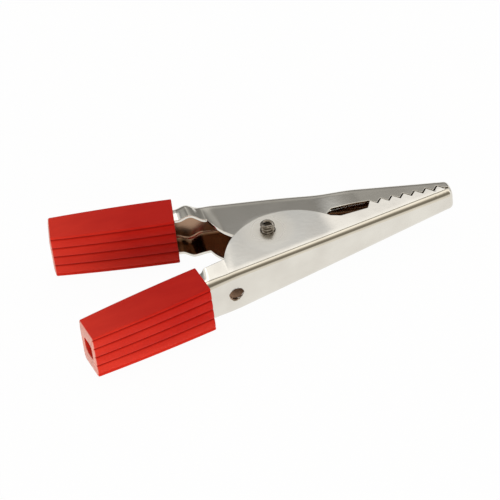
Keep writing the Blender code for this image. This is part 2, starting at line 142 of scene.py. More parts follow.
class SleeveSizes(bpy.types.PropertyGroup):
    """Length, wall and ribs of the grips."""

    length: length("Length", "Mouth to rear end", 16.8)
    wall: length("Wall", "Wall beside the hollow", 0.45)
    narrowing: length("Narrowing", "Width lost from mouth to rear", 0.5)
    shallowing: length("Shallowing", "Depth lost from mouth to rear", 0.55)
    corner: length("Corner", "Radius along the four long edges", 0.22)
    belly: length("Belly", "How far the broad faces bulge at half length", 0.15)
    end_wall: length("End wall", "Thickness of the rear wall", 4.0)
    rib_height: length("Rib height", "Groove to crown", 0.26)
    rib_groove: length("Rib groove", "Width of a groove", 0.44)
    slot_width: length("Slot width", "Lead slot across the grip", 2.75)
    slot_depth: length("Slot depth", "Lead slot through the grip's depth", 2.7)
    ribs: IntProperty(name="Ribs", description="Ribs on each broad face", default=4, min=1)


class Finishes(bpy.types.PropertyGroup):
    """Colours of the materials."""

    nickel: colour("Nickel", "Bright nickel plating", "#E2DED4")
    nickel_shade: colour("Nickel shade", "Where the plating is thin or smudged", "#D9D4CA")
    # Painted shade and painted reflection of the red grips: the dark brown inside the channel
    nickel_inside_painted_shade: colour("Nickel inside", "Dull, browned plating inside the channel", "#A5866E")
    wire: colour("Spring wire", "Plated spring wire", "#9C958B")
    wire_shade: colour("Spring wire shade", "Where the wire's plating is thin", "#544A42")
    vinyl: colour("Vinyl", "Body of the red vinyl", "#C01A0F")
    # Paler red for painted light towards the rear and low down, and for the random mottle
    vinyl_mottle_and_painted_light: colour("Rear vinyl", "Towards the rear, where the vinyl isn't stretched", "#E03626")
    # Painted shade deep in the grooves
    vinyl_groove_painted_shade: colour("Groove", "Deep in the grooves, where the vinyl is dense and dusty", "#960F09")
    # Pale pink on the trimmed rear end: partly the paler cut, partly painted light and sheen from the left
    vinyl_cut_painted_light: colour("Cut vinyl", "Trimmed rear end, rubbed pale", "#F4B4A8")


class StudioSizes(bpy.types.PropertyGroup):
    """Camera and tent."""

    focal: FloatProperty(name="Focal length", description="On a 36 mm sensor", default=217.6, unit="CAMERA")
    distance: length("Camera distance", "Camera to what it aims at", 403)
    elevation: angle("Elevation", "Camera above the floor", 43)
    azimuth: angle("Azimuth", "Camera turned from straight on, towards the grips", 11)
    roll: angle("Roll", "Turn of the picture anticlockwise", 7.4)
    tent: length("Tent radius", "Radius of the light tent", 600)


# Curves shared by the pieces


def ease(x, start, end):
    """3 s^2 - 2 s^3, where s is the share of the way from start to end, held at 0 and 1."""
    share = np.clip((x - start) / (end - start), 0, 1)
    return share * share * (3 - 2 * share)


def along(x, stations, values):
    """A curve that eases from each station's value to the next one's."""
    value = values[0]
    for start, end, after in zip(stations, stations[1:], values[1:]):
        value = value + (after - value) * ease(x, start, end)
    return value


def held(count, hold):
    """Shares from 0 to 1, evenly spaced, with one more beside each end so that shading stays flat there."""
    return np.concatenate([[0, hold], np.linspace(0, 1, count + 1)[1:-1], [1 - hold, 1]])


def quad_grid(rows, columns, close_rows=False):
    """Quads between the points of a grid that closes round its columns, and round its rows if asked."""
    row = np.arange(rows if close_rows else rows - 1)[:, None]
    column = np.arange(columns)[None, :]
    ahead, beside = (row + 1) % rows, (column + 1) % columns
    corners = [
        row * columns + column, row * columns + beside, ahead * columns + beside, ahead * columns + column
    ]
    return np.stack(corners, axis=-1).reshape(-1, 4)


def enclosed(points, quads):
    """Signed volume inside quads: a sixth of the sum of a . (b x c) over both triangles of each."""
    a, b, c, d = (points[quads[:, i]] for i in range(4))
    return (np.einsum("ij,ij->i", a, np.cross(b, c)) + np.einsum("ij,ij->i", a, np.cross(c, d))).sum() / 6


def add_object(name, data):
    """An object of the scene with its mesh, camera or lamp."""
    obj = bpy.data.objects.new(name, data)
    bpy.context.scene.collection.objects.link(obj)
    return obj


def add_mesh(name, points, faces):
    """A mesh object of the scene."""
    mesh = bpy.data.meshes.new(name)
    mesh.from_pydata(points, [], faces)
    return add_object(name, mesh)


def solid(name, grid, caps=(), close_rows=False):
    """A smooth closed mesh from a grid (rows, columns, 3) about the pivot, faces out, with faces as caps."""
    rows, columns, _ = grid.shape
    points = grid.reshape(-1, 3)
    quads = quad_grid(rows, columns, close_rows)
    faces = quads.tolist() + [list(cap) for cap in caps]
    if enclosed(points, quads) < 0:
        faces = [face[::-1] for face in faces]
    obj = add_mesh(name, (points + PIVOT).tolist(), faces)
    obj.data.shade_smooth()
    obj.data.validate()
    return obj


def mark(obj, name, values):
    """Keeps a number for each point of a mesh, which its material reads."""
    obj.data.attributes.new(name, "FLOAT", "POINT").data.foreach_set("value", np.ravel(values))


# Jaws

# Ends of an ear's rim, as angles about its centre
FRONT_ANGLE, BACK_ANGLE = math.radians(46), math.radians(72.2)
# How far a flank leans out per height
DRAFT = 0.045
# Draft ahead of the ears, and where the flanks ease into it
FRONT_DRAFT = {LOWER: 0.075, UPPER: 0.03}
FRONT_START, FRONT_END = mm(7, 9.5)
# Where the upper spine has risen in full
RISE_END = 5 * MM
# Space between nested flanks, and where and over what length the upper jaw steps out ahead of them
NEST_GAP_BACK, NEST_GAP_FRONT = mm(0.3, 0.16)
STEP_OVERLAP, STEP_LENGTH = mm(0.6, 6.2)
# Window behind the teeth: its height over the bite line, the run of its steep wall ahead, and for each jaw
# the run of its end behind and the height that it loses on the way ahead
WINDOW_DEPTH, WINDOW_WALL_RUN = mm(1.15, 0.64)
WINDOW_RUN = {LOWER: 1.3 * MM, UPPER: 0.6 * MM}
WINDOW_RISE = {LOWER: 0.35 * MM, UPPER: 0.55 * MM}
# Run of a tooth's steep side, the flat at the tip, and the space and offset between closed teeth
STEEP_RUN, TIP_LAND = mm(0.66, 1.5)
BITE_GAP, BITE_SHIFT = mm(0.22, 0.09)
SHANK_ANGLE = {LOWER: math.radians(10.3), UPPER: math.radians(9.8)}

# Tail stations behind the pivot: sleeve end of the shank, mouth, swell, neck and shoulder. The first four
# have a half width at the spine, a half width at the free edge and a depth
SHANK_END, MOUTH, NECK, SHOULDER = mm(-17.55, -10.75, -7.3, -5.3)
SWELL = {LOWER: -9.9 * MM, UPPER: -9.2 * MM}
TAIL_HALVES = {LOWER: mm(2.82, 3.22, 3.3, 3.3), UPPER: mm(2.82, 3.22, 3.75, 2.75)}
TAIL_LIPS = {LOWER: mm(2.72, 3.12, 3.53, 3.45), UPPER: mm(2.72, 3.12, 3.82, 3.1)}
TAIL_DEPTHS = {LOWER: mm(2.5, 3.1, 3.45, 3.6), UPPER: mm(2.5, 3.1, 3.2, 3.65)}
# Bend radius at the mouth and the swell
SWELL_BEND = {LOWER: 1.3 * MM, UPPER: 1.5 * MM}

# Pivot to lead hole, and a pivot hole's space round the coil and the round of its rims
LEAD_HOLE_BACK = 6.65 * MM
HOLE_CLEARANCE, HOLE_ROUND = mm(0.04, 0.03)
# Points of the outline on the tail and the arc, and sections along the tail, ear, window and nose
OUTLINE_TAIL, OUTLINE_ARC = 60, 90
TAIL_STEPS, EAR_STEPS, WINDOW_STEPS, NOSE_STEPS = 60, 80, 26, 18
# Faces on a flank, a bend, half a spine and a rim's round
SIDE_STEPS, BEND_STEPS, SPINE_STEPS, ROUND_STEPS = 14, 12, 5, 4
# Sections to one tooth, the least space between two, and the space either side of the nose's wall
TEETH_STEPS, STATION_STEP, WALL_STEP = 32, 0.005 * MM, 0.02 * MM
# Half the length over which the outline's corners are eased, and the least radius inside a bend
CORNER_WINDOW = 0.05 * MM
LEAST_BEND = 0.02 * MM
# How steeply and over what length a flank curls before its bend, and the least flank above a rim
CURL, CURL_RUN, FLANK_LEAST = math.radians(5.5), 0.45 * MM, 0.05 * MM


def spine_slope(s):
    return (s.spine_at_pivot - s.spine_at_tip) / s.tip_ahead


def nose_turn(s, x):
    """A quarter round, r - sqrt(r^2 - d^2), by which flanks and spine come in before the front wall."""
    share = np.clip((x - s.tip_ahead) / s.nose_round + 1, 0, 1)
    return s.nose_round * (1 - np.sqrt(1 - share * share))


def spine_height(s, jaw, x):
    """A straight run from tip to mouth, raised a little on the upper jaw, a flatter one inside the sleeve,
    and the nose's round."""
    rise = s.upper_rise * ease(x, MOUTH, RISE_END) if jaw == UPPER else 0
    shank = np.maximum(0, MOUTH - x) * math.tan(SHANK_ANGLE[jaw])
    return s.spine_at_pivot + rise - np.maximum(x, MOUTH) * spine_slope(s) + shank - nose_turn(s, x)


def ear_ends(s):
    """Where the ear's rim ends at the front and at the back."""
    front = s.ear_centre + s.ear_radius * math.sin(FRONT_ANGLE)
    return front, s.ear_centre - s.ear_radius * math.sin(BACK_ANGLE)


def ear_points(s, count):
    """x of points at even angles along the rim of an ear."""
    return s.ear_centre + s.ear_radius * np.sin(np.linspace(-BACK_ANGLE, FRONT_ANGLE, count))


def ear_edge(s, x):
    """The rim of an ear, an arc that crosses the bite line."""
    return s.ear_radius - s.ear_reach - np.sqrt(s.ear_radius**2 - (x - s.ear_centre) ** 2)


def tail_edge(s, jaw, x):
    """Free edge behind the ears: the spine less a depth that eases between the tail's stations."""
    return spine_height(s, jaw, x) - along(x, (SHANK_END, MOUTH, SWELL[jaw], NECK), TAIL_DEPTHS[jaw])


def outline(s, jaw):
    """Free edge from tail to nose: eased tail, arc of the ear, window, teeth of one steep and one gentle
    side, and a flat nose. The upper jaw's teeth are the lower's turned over, a bite gap away."""
    front, back = ear_ends(s)
    tail = np.linspace(SHANK_END, back, OUTLINE_TAIL)[:-1]
    arc = ear_points(s, OUTLINE_ARC)
    window = [front + WINDOW_RUN[jaw], s.first_crest - WINDOW_WALL_RUN]
    rise = [max(WINDOW_DEPTH, ear_edge(s, front)), WINDOW_DEPTH - WINDOW_RISE[jaw]]
    count = 1 + int((s.tip_ahead - TIP_LAND - s.first_crest) / s.tooth_pitch)
    crests = s.first_crest + s.tooth_pitch * np.arange(count) - (BITE_SHIFT if jaw == UPPER else 0)
    half = s.tooth_height / 2
    teeth = np.stack([crests - STEEP_RUN, crests], axis=1).ravel()[1:]
    nose = [crests[-1] + s.tooth_pitch - STEEP_RUN, s.tip_ahead]
    bites = np.append(np.tile([half, -half], count)[1:], [half, half])
    if jaw == UPPER:
        bites = BITE_GAP - bites
    x = np.concatenate([tail, arc, window, teeth, nose])
    return x, np.concatenate([tail_edge(s, jaw, tail), ear_edge(s, arc), rise, bites])


def edge_height(s, jaw, x):
    """The outline at x, with its corners eased: the mean over a short window on each side of x."""
    window = np.linspace(-CORNER_WINDOW, CORNER_WINDOW, 9)
    return np.interp(x[:, None] + window, *outline(s, jaw)).mean(axis=1)


def channel(s, jaw, x):
    """Half width at the spine, bend radius and half width at the free edge, at each x.

    The flanks taper to the tip. They lean out by the draft, apart from the upper jaw's where they nest
    between the lower jaw's. The nose's round brings all three in, and the tail eases between stations."""
    spine = spine_height(s, jaw, x)
    depth = spine - edge_height(s, jaw, x)
    half = s.half_at_pivot - (s.half_at_pivot - s.half_at_tip) * x / s.tip_ahead
    bend = s.bend_at_pivot + (s.bend_at_tip - s.bend_at_pivot) * ease(x, 0, s.tip_ahead)
    step = s.ear_centre + math.sqrt(s.ear_radius**2 - (s.ear_radius - s.ear_reach) ** 2) - STEP_OVERLAP
    nested = 1 - ease(x, step, step + STEP_LENGTH) if jaw == UPPER else 0 * x
    gap = NEST_GAP_BACK + (NEST_GAP_FRONT - NEST_GAP_BACK) * ease(x, ear_ends(s)[1], step)
    lower_lean = DRAFT * (spine_height(s, LOWER, x) - s.pivot_drop - bend)
    half = half + nested * (lower_lean - s.sheet - gap)
    lean = DRAFT + (FRONT_DRAFT[jaw] - DRAFT) * ease(x, FRONT_START, FRONT_END)
    lip = half + (1 - nested) * lean * (depth - bend)
    stations = (SHANK_END, MOUTH, SWELL[jaw], NECK, SHOULDER)
    half = along(x, stations, (*TAIL_HALVES[jaw], half))
    lip = along(x, stations, (*TAIL_LIPS[jaw], lip))
    bend = along(x, stations, (bend, SWELL_BEND[jaw], SWELL_BEND[jaw], bend, bend))
    turn = nose_turn(s, x)
    return half - turn, bend - turn, lip - turn, spine


def jaw_section(s, jaw, x, lift, walled):
    """(height, z) round the sheet at each x, from the middle of the +Z rim over the outside and back inside.

    A face is a flank that is straight from its rim and curls, as a parabola, into an arc round the bend,
    and half the spine. The rim is lifted by lift. In the walled rows, which make the nose solid, the way
    back runs straight from rim to rim."""
    half, bend, lip, spine = (value[:, None] for value in channel(s, jaw, x))
    edge = edge_height(s, jaw, x)[:, None]
    lean = (lip - half) / np.maximum(spine - bend - edge, s.sheet)
    edge = edge + lift[:, None]
    start = edge + s.edge_round
    across = math.hypot(1, spine_slope(s))
    round_turn = np.linspace(0, math.pi / 2, ROUND_STEPS + 1)[None, :]
    share = held(BEND_STEPS, 0.02)[None, 1:]
    # Closer together towards the bend
    flank = 1 - (1 - held(SIDE_STEPS, 0.01)[None, 1:]) ** 1.5
    reach = np.linspace(1, 0, SPINE_STEPS + 1)[None, 1:]
    halves, shift = [], None
    for depth, outward in ((0, 1), (s.sheet, -1)):
        radius = np.maximum(bend - depth, LEAST_BEND)
        high = np.maximum(bend - depth * across, LEAST_BEND)
        first = np.arcsin(np.clip((start + FLANK_LEAST - spine + bend) / high, math.sin(CURL), 0.97))
        arc_h = spine - bend + high * np.sin(first)
        run = np.minimum(CURL_RUN, 0.8 * (arc_h - start))
        gain = np.tan(first) - lean
        # Height left to the arc's start, along the flank
        left = (arc_h - start) * (1 - np.concatenate([np.zeros((1, 1)), flank], axis=1))
        bowed = np.where(left < run, left - left * left / (2 * run), run / 2)
        side_z = half - bend + radius * np.cos(first) + lean * left + gain * bowed
        if shift is None:
            shift = side_z[:, :1] - lip - lean * (edge - start)
        turn = first + (math.pi / 2 - first) * share
        # The rim's round turns from the cut edge up to this face.
        rim_h = start - s.edge_round * np.cos(round_turn)
        rim_z = side_z[:, :1] - outward * s.edge_round * (1 - np.sin(round_turn))
        halves.append((
            np.concatenate([
                rim_h, arc_h - left[:, 1:], spine - bend + high * np.sin(turn),
                np.repeat(spine - depth * across, SPINE_STEPS, axis=1),
            ], axis=1),
            np.concatenate([
                rim_z - shift, side_z[:, 1:] - shift, half - bend + radius * np.cos(turn) - shift,
                (half - bend - shift) * reach,
            ], axis=1),
        ))
    (outer_h, outer_z), (inner_h, inner_z) = halves
    back = slice(-2, None, -1)
    inside_h = np.concatenate([inner_h, inner_h[:, back]], axis=1)
    inside_z = np.concatenate([-inner_z, inner_z[:, back]], axis=1)
    straight = inner_z[:, :1] * np.linspace(-1, 1, inside_z.shape[1])
    inside_h = np.where(walled[:, None], edge, inside_h)
    inside_z = np.where(walled[:, None], straight, inside_z)
    height = np.concatenate([outer_h, outer_h[:, back], inside_h], axis=1)
    return height, np.concatenate([outer_z, -outer_z[:, back], inside_z], axis=1)


def jaw_stations(s):
    """x of every section, closer together where the outline turns, and how far the rim is lifted there."""
    front, back = ear_ends(s)
    step = s.tooth_pitch / TEETH_STEPS
    wall = s.tip_ahead - s.sheet
    teeth = np.arange(s.first_crest - 20 * step, s.tip_ahead - s.nose_round, step)
    nose = s.tip_ahead - s.nose_round * (1 - np.sin(np.linspace(0, math.pi / 2, NOSE_STEPS)))
    x = np.concatenate([
        np.linspace(SHANK_END, NECK, TAIL_STEPS), back + step * np.arange(-4, 9), ear_points(s, EAR_STEPS),
        np.linspace(front, teeth[0], WINDOW_STEPS)[1:-1], teeth, nose,
        wall + WALL_STEP * np.array([-4, -1, 0, 1]),
    ])
    x = np.unique(np.round(x / STATION_STEP) * STATION_STEP)
    near = np.clip((x - s.tip_ahead) / s.edge_round + 1, 0, 1)
    return x, s.edge_round * (1 - np.sqrt(1 - near * near))


def jaw_surface(s, jaw):
    """Grid of one jaw about the pivot: (x, jaw side * height + pivot drop, z)."""
    x, lift = jaw_stations(s)
    height, z = jaw_section(s, jaw, x, lift, x > s.tip_ahead - s.sheet - WALL_STEP / 2)
    return np.stack([np.broadcast_to(x[:, None], z.shape), jaw * height + s.pivot_drop, z], axis=-1)


def end_cap(first, columns):
    """Quads across the end of the sheet, from each outer point to the inner point behind it."""
    a = np.arange(columns // 2)
    return np.stack([a, a + 1, columns - 1 - (a + 1), columns - 1 - a], axis=1)[:-1] + first


def spool(name, centre, normal, radius, thick, flare, sides=64):
    """A cutter for a hole with rounded rims: radius + flare (1 - sqrt(1 - t^2)) near both faces of the
    sheet, where t is how near the face is, turned about the normal."""
    t = np.linspace(0, 1, 5)
    bulge = flare * (1 - np.sqrt(1 - t * t))
    level = np.concatenate([[2 * thick], -flare + flare * t[::-1], -thick + flare - flare * t, [-2 * thick]])
    widths = radius + np.concatenate([[flare], bulge[::-1], bulge, [flare]])
    turn = np.linspace(0, 2 * math.pi, sides, endpoint=False)
    normal = np.array(normal) / np.linalg.norm(normal)
    across = np.cross(normal, (1.0, 0.0, 0.0) if abs(normal[0]) < 0.9 else (0.0, 1.0, 0.0))
    across /= np.linalg.norm(across)
    ring = np.cos(turn)[:, None] * across + np.sin(turn)[:, None] * np.cross(normal, across)
    grid = np.array(centre) + widths[:, None, None] * ring + level[:, None, None] * normal
    last = (len(level) - 1) * sides
    return solid(name, grid, [range(sides)[::-1], range(last, last + sides)])


def carve(obj, cutters):
    """Cuts the cutters out of obj, keeps the result as its mesh, and removes them."""
    for cutter in cutters:
        hole = obj.modifiers.new(cutter.name, "BOOLEAN")
        hole.solver = "EXACT"
        hole.object = cutter
    graph = bpy.context.evaluated_depsgraph_get()
    carved = bpy.data.meshes.new_from_object(obj.evaluated_get(graph))
    obj.modifiers.clear()
    obj.data = carved
    for cutter in cutters:
        bpy.data.objects.remove(cutter)


def flank_at(s, jaw, side):
    """Place and outward normal of the flank where the pivot's axis crosses it."""
    x = np.array([-0.1, 0.0, 0.1]) * MM
    half, bend, lip, spine = channel(s, jaw, x)
    edge = edge_height(s, jaw, x)
    lean = (half - lip) / (spine - bend - edge)
    z = lip + lean * (-jaw * s.pivot_drop - edge)
    along_x = (z[2] - z[0]) / (x[2] - x[0])
    return (0, 0, side * z[1]), (-along_x, -jaw * lean[1], side)


def make_jaw(name, jaw, s, spring):
    """One jaw, with its pivot holes, and the lead hole in the lower jaw's spine."""
    grid = jaw_surface(s, jaw)
    rows, columns, _ = grid.shape
    first, last = end_cap(0, columns), end_cap((rows - 1) * columns, columns)
    obj = solid(name, grid, [cap[::-1] for cap in first.tolist()] + last.tolist())
    # 1 on the face inside the channel, and 0 outside and on the cut edges; the material paints the inside
    # dark brown as painted shade and painted reflection of the red grips
    inside = np.zeros((rows, columns))
    inside[:, columns // 2 + ROUND_STEPS + 1 : -ROUND_STEPS - 1] = 1
    mark(obj, "inside", inside)
    radius = spring.coil / 2 + HOLE_CLEARANCE
    cutters = []
    for side in (1, -1):
        centre, normal = flank_at(s, jaw, side)
        cutters.append(spool(f"{name}_pivot_{side}", centre, normal, radius, s.sheet, HOLE_ROUND))
    if jaw == LOWER:
        x = -LEAD_HOLE_BACK
        place = (x, s.pivot_drop - spine_height(s, LOWER, x), 0)
        normal = (-spine_slope(s), -1, 0)
        cutters.append(spool(f"{name}_lead", place, normal, s.lead_hole / 2, s.sheet, s.edge_round))
    carve(obj, cutters)
    obj.data.shade_smooth()
    return obj


# Torsion spring

# Turns between the legs, and on each side of them
MIDDLE_TURNS, OUTER_TURNS = 0.85, 6.25
# The first turns at each cut end, and by how much of the wire they spring open
FLICK_TURNS, FLICK = 0.09, 0.5
# Space between the end of a leg and the sheet
SPRING_SEAT = 0.1 * MM
# Points round the wire, along one turn, along a leg and round its loop
WIRE_SIDES, TURN_STEPS, LEG_STEPS, LOOP_STEPS = 20, 48, 14, 22
# Slant, size and bulge of the cut ends, as shares of the wire's radius
CUT_SLANT, CUT_SIZE, CUT_BULGE = 0.45, 0.86, 0.12
# Half the height of a band about the coil's middle, from which the spring's operator works out two heights
# that nothing uses
TURN_OVER = 0.3 * MM


def coil_turns(w, start_angle, turns, start_z, end_z, hand, cut=None):
    """Points r (cos a, sin a) falling evenly, and the unit vector from the axis to each.

    The cut end, "first" or "last", springs open by the square of its share of the flick."""
    share = np.linspace(0, turns, int(TURN_STEPS * turns) + 1)
    turn = start_angle + hand * 2 * math.pi * share
    out = np.stack([np.cos(turn), np.sin(turn), 0 * turn], axis=1)
    away = share if cut == "first" else turns - share
    flick = np.clip(1 - away / FLICK_TURNS, 0, 1) ** 2 * FLICK * w.wire if cut else 0 * share
    points = out * ((w.coil - w.wire) / 2 + flick)[:, None]
    points[:, 2] = start_z + (end_z - start_z) * share / turns
    return points, out


def hairpin(w, start, heading, reach):
    """A straight leg, a half circle down, and a straight leg back, all in one plane."""
    out = np.array([math.cos(heading), math.sin(heading), 0.0])
    down = np.array([0.0, 0.0, -1.0])
    leg = np.linspace(0, 1, LEG_STEPS)[1:-1, None] * reach * out
    turn = np.linspace(0, math.pi, LOOP_STEPS)[:, None]
    loop = reach * out + w.leg_gap * (out * np.sin(turn) + down * (1 - np.cos(turn)))
    points = start + np.concatenate([leg, loop, leg[::-1] + 2 * w.leg_gap * down])
    side = np.array([-math.sin(heading), math.cos(heading), 0.0])
    return points, np.broadcast_to(side, points.shape)


def leg_reach(s, w, start, heading, jaw):
    """How far a leg runs from start before its end seats on the inside of a jaw's spine."""
    slope = spine_slope(s)
    seat = s.sheet * math.hypot(1, slope) + w.wire / 2 + SPRING_SEAT
    height = jaw * (start[1] - s.pivot_drop)
    room = spine_height(s, jaw, 0.0) - slope * start[0] - seat - height
    return room / (jaw * math.sin(heading) + slope * math.cos(heading)) - w.leg_gap


def spring_path(s, w):
    """The wire's middle line from the top cut to the bottom one, and a side vector square to it."""
    upper_angle = w.leg_angle + math.pi / 2
    middle_z = MIDDLE_TURNS * (w.wire + w.gap) / 2
    outer_z = middle_z + 2 * w.leg_gap
    ear = s.half_at_pivot + DRAFT * (s.spine_at_pivot - s.pivot_drop - s.bend_at_pivot)
    end_z = ear + w.proud - w.wire / 2
    full = 2 * math.pi
    top = coil_turns(w, upper_angle + full * OUTER_TURNS, OUTER_TURNS, end_z, outer_z, -1, "first")
    start = top[0][-1]
    upper = hairpin(w, start, w.leg_angle, leg_reach(s, w, start, w.leg_angle, UPPER))
    middle = coil_turns(w, upper_angle, MIDDLE_TURNS, middle_z, -middle_z, 1)
    start = middle[0][-1]
    lower_angle = upper_angle + full * MIDDLE_TURNS
    lower_heading = lower_angle + math.pi / 2
    lower = hairpin(w, start, lower_heading, leg_reach(s, w, start, lower_heading, LOWER))
    bottom = coil_turns(w, lower_angle, OUTER_TURNS, -outer_z, -end_z, -1, "last")
    parts = (top, upper, middle, lower, bottom)
    return np.concatenate([p for p, _ in parts]), np.concatenate([side for _, side in parts])


def wire_surface(path, side, radius):
    """Rings of the radius in the plane square to the path, shrunk and slanted at the two cut ends."""
    ahead = np.gradient(path, axis=0)
    ahead /= np.linalg.norm(ahead, axis=1, keepdims=True)
    other = np.cross(ahead, side)
    other /= np.linalg.norm(other, axis=1, keepdims=True)
    side = np.cross(other, ahead)
    turn = np.linspace(0, 2 * math.pi, WIRE_SIDES, endpoint=False)
    around = np.cos(turn)[None, :, None] * side[:, None] + np.sin(turn)[None, :, None] * other[:, None]
    grid = path[:, None] + radius * around
    ends = []
    for row, direction in ((0, -1), (-1, 1)):
        slant = np.cos(turn)[:, None] * CUT_SLANT * ahead[row]
        flat = CUT_SIZE * around[row] + direction * CUT_BULGE * ahead[row] + slant
        grid[row] += radius * slant
        ends.append(path[row] + radius * flat)
    return np.concatenate([ends[:1], grid, ends[1:]])


def make_spring(s, w):
    path, side = spring_path(s, w)
    grid = wire_surface(path, side, w.wire / 2)
    last = (len(grid) - 1) * WIRE_SIDES
    return solid("spring_wire", grid, [range(WIRE_SIDES)[::-1], range(last, last + WIRE_SIDES)])


# Grip sleeves

SHANK_DEPTH, SHANK_HALF = TAIL_DEPTHS[LOWER][1], TAIL_HALVES[LOWER][1]
# Space round the shank: beside it, in depth and next to its spine, and the mouth's reach ahead of its station
SIDE_ROOM, DEPTH_ROOM = mm(0.1, 0.4)
BACK_ROOM = {LOWER: 0.26 * MM, UPPER: 0.1 * MM}
MOUTH_REACH = {LOWER: 0.3 * MM, UPPER: 0.0}
CAVITY_CORNER, SLOT_CORNER = mm(0.5, 0.95)
# Share of a rib's height that its crown takes
RIB_CROWN = 0.2
MOUTH_ROUND, REAR_ROUND, REAR_CROWN = mm(0.12, 0.22, 0.12)
FACE_STEPS, NARROW_STEPS, CORNER_STEPS = 168, 24, 8
# Rings along the skin, the hollow and the slot, across the rear end, and round each rim
SKIN_RINGS, HOLLOW_RINGS, SLOT_RINGS, END_RINGS, RIM_RINGS = 48, 20, 8, 10, 6


def ring(high, low, half, corner, relief=0):
    """(depth, z) round a rounded rectangle from depth high to low and half a width to each side.

    The broad faces carry relief; each corner is a quarter circle between a broad and a narrow face."""
    t = np.linspace(1, -1, FACE_STEPS + 1)
    turn = np.linspace(0, math.pi / 2, CORNER_STEPS + 1)[1:]
    z = (half - corner) * t
    fall = np.linspace(high - corner, low + corner, NARROW_STEPS + 1)[1:]
    depth = np.concatenate([
        high + relief + 0 * t, high - corner * (1 - np.cos(turn)), fall,
        low + corner * (1 - np.sin(turn)), (low - relief + 0 * t)[1:],
        low + corner * (1 - np.cos(turn)), fall[::-1][1:], [high - corner],
        high - corner * (1 - np.sin(turn))[:-1],
    ])
    width = np.concatenate([
        z, corner - half - corner * np.sin(turn), np.full(len(fall), -half),
        corner - half - corner * np.cos(turn), -z[1:],
        half - corner + corner * np.sin(turn), np.full(len(fall) - 1, half), [half],
        half - corner + corner * np.cos(turn)[:-1],
    ])
    return np.stack([depth, width], axis=1)


def groove_share(g, half):
    """How deep each column of a broad face lies in a groove, 0 on a rib and 1 at the bottom, its place
    across the face in ribs, and half a groove in ribs."""
    edge = half - g.corner
    pitch = (2 * edge - g.rib_groove) / g.ribs
    across = (edge * (1 - np.linspace(1, -1, FACE_STEPS + 1)) - g.rib_groove / 2) / pitch
    away = np.abs(across - np.round(across)) * pitch
    return 1 - ease(away, 0, g.rib_groove / 2), across, g.rib_groove / 2 / pitch


def rib_relief(g, half):
    """Crowned ribs between grooves: crown 4 s (1 - s) over each rib, and an eased valley at each groove,
    also along both edges."""
    groove, across, start = groove_share(g, half)
    share = np.clip((across - np.floor(across) - start) / (1 - 2 * start), 0, 1)
    return g.rib_height * (RIB_CROWN * 4 * share * (1 - share) - (1 - RIB_CROWN) * groove)


def sleeve_rings(g, back_room, reach):
    """(run, depth, z) rings: out along the skin, over the rear end, in through the slot, forward up the
    hollow's wall and over the mouth's rim to where they began. The mouth lies at -reach."""
    wall = g.wall + g.rib_height

    def skin(share, shrink=0.0):
        half = SHANK_HALF + SIDE_ROOM + g.wall - share * g.narrowing / 2 - shrink
        hollow = SHANK_DEPTH + DEPTH_ROOM - share * g.shallowing
        swell = g.belly * 4 * share * (1 - share) - RIB_CROWN * g.rib_height - shrink
        relief = rib_relief(g, half) * (1 - shrink / (2 * REAR_ROUND))
        return ring(back_room + wall + swell, back_room - wall - hollow - swell, half, g.corner, relief)

    def hollow(share, grow=0.0):
        depth = SHANK_DEPTH + DEPTH_ROOM - share * g.shallowing
        half = SHANK_HALF + SIDE_ROOM - share * g.narrowing / 2 + grow
        return ring(back_room + grow, back_room - depth - grow, half, CAVITY_CORNER)

    def slot(grow=0.0):
        middle = back_room - (SHANK_DEPTH + DEPTH_ROOM - g.shallowing) / 2
        half_depth, half = g.slot_depth / 2 + grow, g.slot_width / 2 + grow
        return ring(middle + half_depth, middle - half_depth, half, SLOT_CORNER)

    turn = np.linspace(0, math.pi / 2, RIM_RINGS)
    rings, runs = [], []

    def add(run, shape):
        runs.append(run)
        rings.append(shape)

    mouth = MOUTH_ROUND - reach
    for run in np.linspace(mouth, g.length - REAR_ROUND, SKIN_RINGS):
        add(run, skin((run + reach) / (g.length + reach)))
    for a in turn[1:]:
        add(g.length - REAR_ROUND * (1 - math.sin(a)), skin(1, REAR_ROUND * (1 - math.cos(a))))
    rim = 0.1 * MM
    outside, inside = skin(1, REAR_ROUND), slot(rim)
    for share in np.linspace(0, 1, END_RINGS)[1:]:
        bulge = REAR_CROWN * math.sin(math.pi * share)
        add(g.length + bulge, outside + (inside - outside) * share)
    for a in turn[1:]:
        add(g.length - rim * (1 - math.cos(a)), slot(rim * (1 - math.sin(a))))
    deep = g.length - g.end_wall
    for run in np.linspace(g.length - 2 * rim, deep, SLOT_RINGS):
        add(run, slot())
    inside, outside = slot(), hollow(deep / g.length)
    for share in (0.1, 0.5, 0.9, 1):
        add(deep, inside + (outside - inside) * share)
    for run in np.linspace(deep - rim, mouth, HOLLOW_RINGS):
        add(run, hollow(run / g.length))
    for a in turn[1:]:
        add(mouth - MOUTH_ROUND * math.sin(a), hollow(0, MOUTH_ROUND * (1 - math.cos(a))))
    for a in turn[::-1][:-1]:
        add(mouth - MOUTH_ROUND * math.sin(a), skin(0, MOUTH_ROUND * (1 - math.cos(a))))
    runs = np.broadcast_to(np.array(runs)[:, None], (len(runs), len(rings[0])))
    return np.concatenate([runs[..., None], np.array(rings)], axis=-1)


